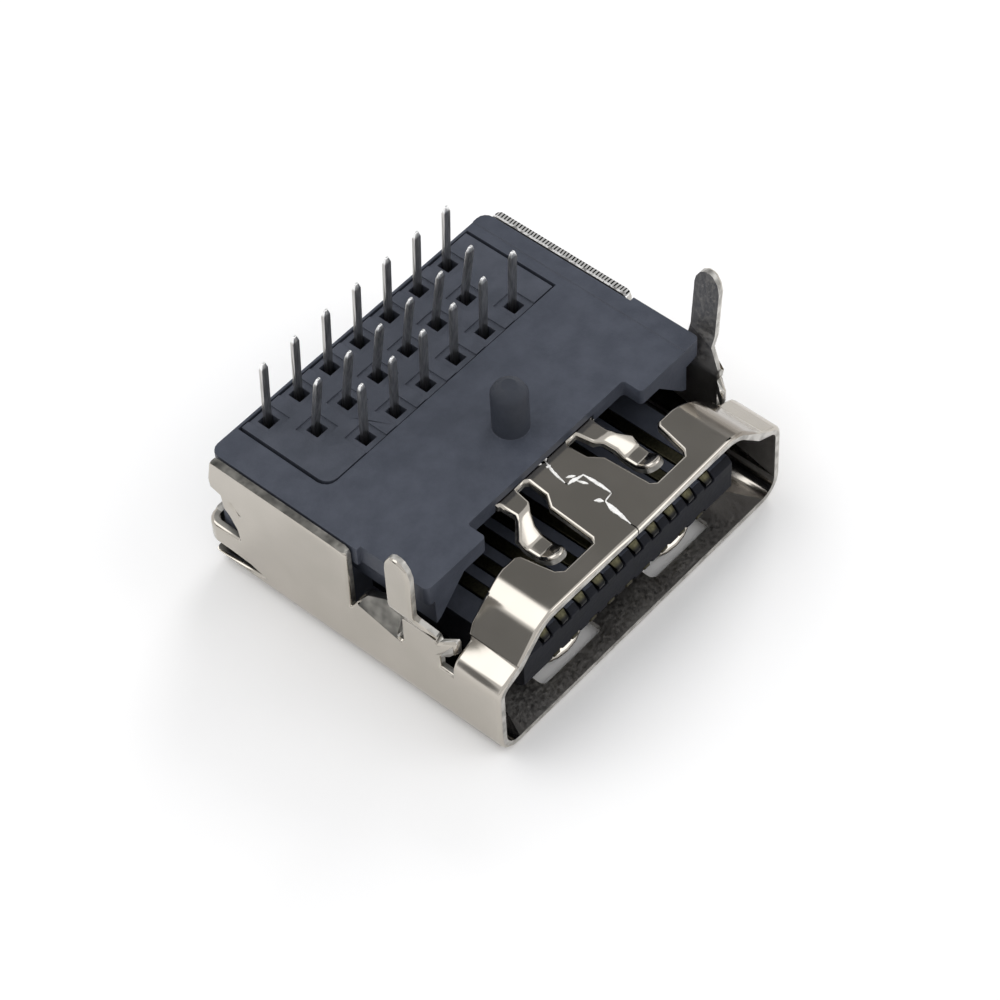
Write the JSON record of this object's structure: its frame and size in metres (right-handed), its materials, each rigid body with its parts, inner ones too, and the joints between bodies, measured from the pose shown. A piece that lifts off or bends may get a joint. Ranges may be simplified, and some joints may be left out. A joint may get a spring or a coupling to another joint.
{
  "type": "board-mounted digital video socket",
  "caption": "Right-angle digital video socket: folded metal shell with spring fingers, moulded housing with a tongue, and rows of through-hole contact tails.",
  "frame": {"origin": "centre of the bounding box in plan, on the wide face of the shell, which is its lowest flat face", "axes": "+X across the mouth, +Y from the mouth to the rear, +Z out of the face that meets the circuit board, so the tails point up"},
  "size_m": [0.0156, 0.0132, 0.0085],
  "materials": {
    "shell_plate": "bright nickel plate on folded sheet",
    "housing_plastic": "moulded, slightly satin, slate grey",
    "aligner_plastic": "moulded, slightly satin, slate grey",
    "contact_plate": "tinned tails, gold-flashed tips"
  },
  "bodies": {
    "root": {"shell": "shell_plate", "housing": "housing_plastic", "tail_aligner": "aligner_plastic", "contact_01": "contact_plate", "contact_02": "contact_plate", "contact_03": "contact_plate", "contact_04": "contact_plate", "contact_05": "contact_plate", "contact_06": "contact_plate", "contact_07": "contact_plate", "contact_08": "contact_plate", "contact_09": "contact_plate", "contact_10": "contact_plate", "contact_11": "contact_plate", "contact_12": "contact_plate", "contact_13": "contact_plate", "contact_14": "contact_plate", "contact_15": "contact_plate", "contact_16": "contact_plate", "contact_17": "contact_plate", "contact_18": "contact_plate", "contact_19": "contact_plate"}
  },
  "joints": []
}
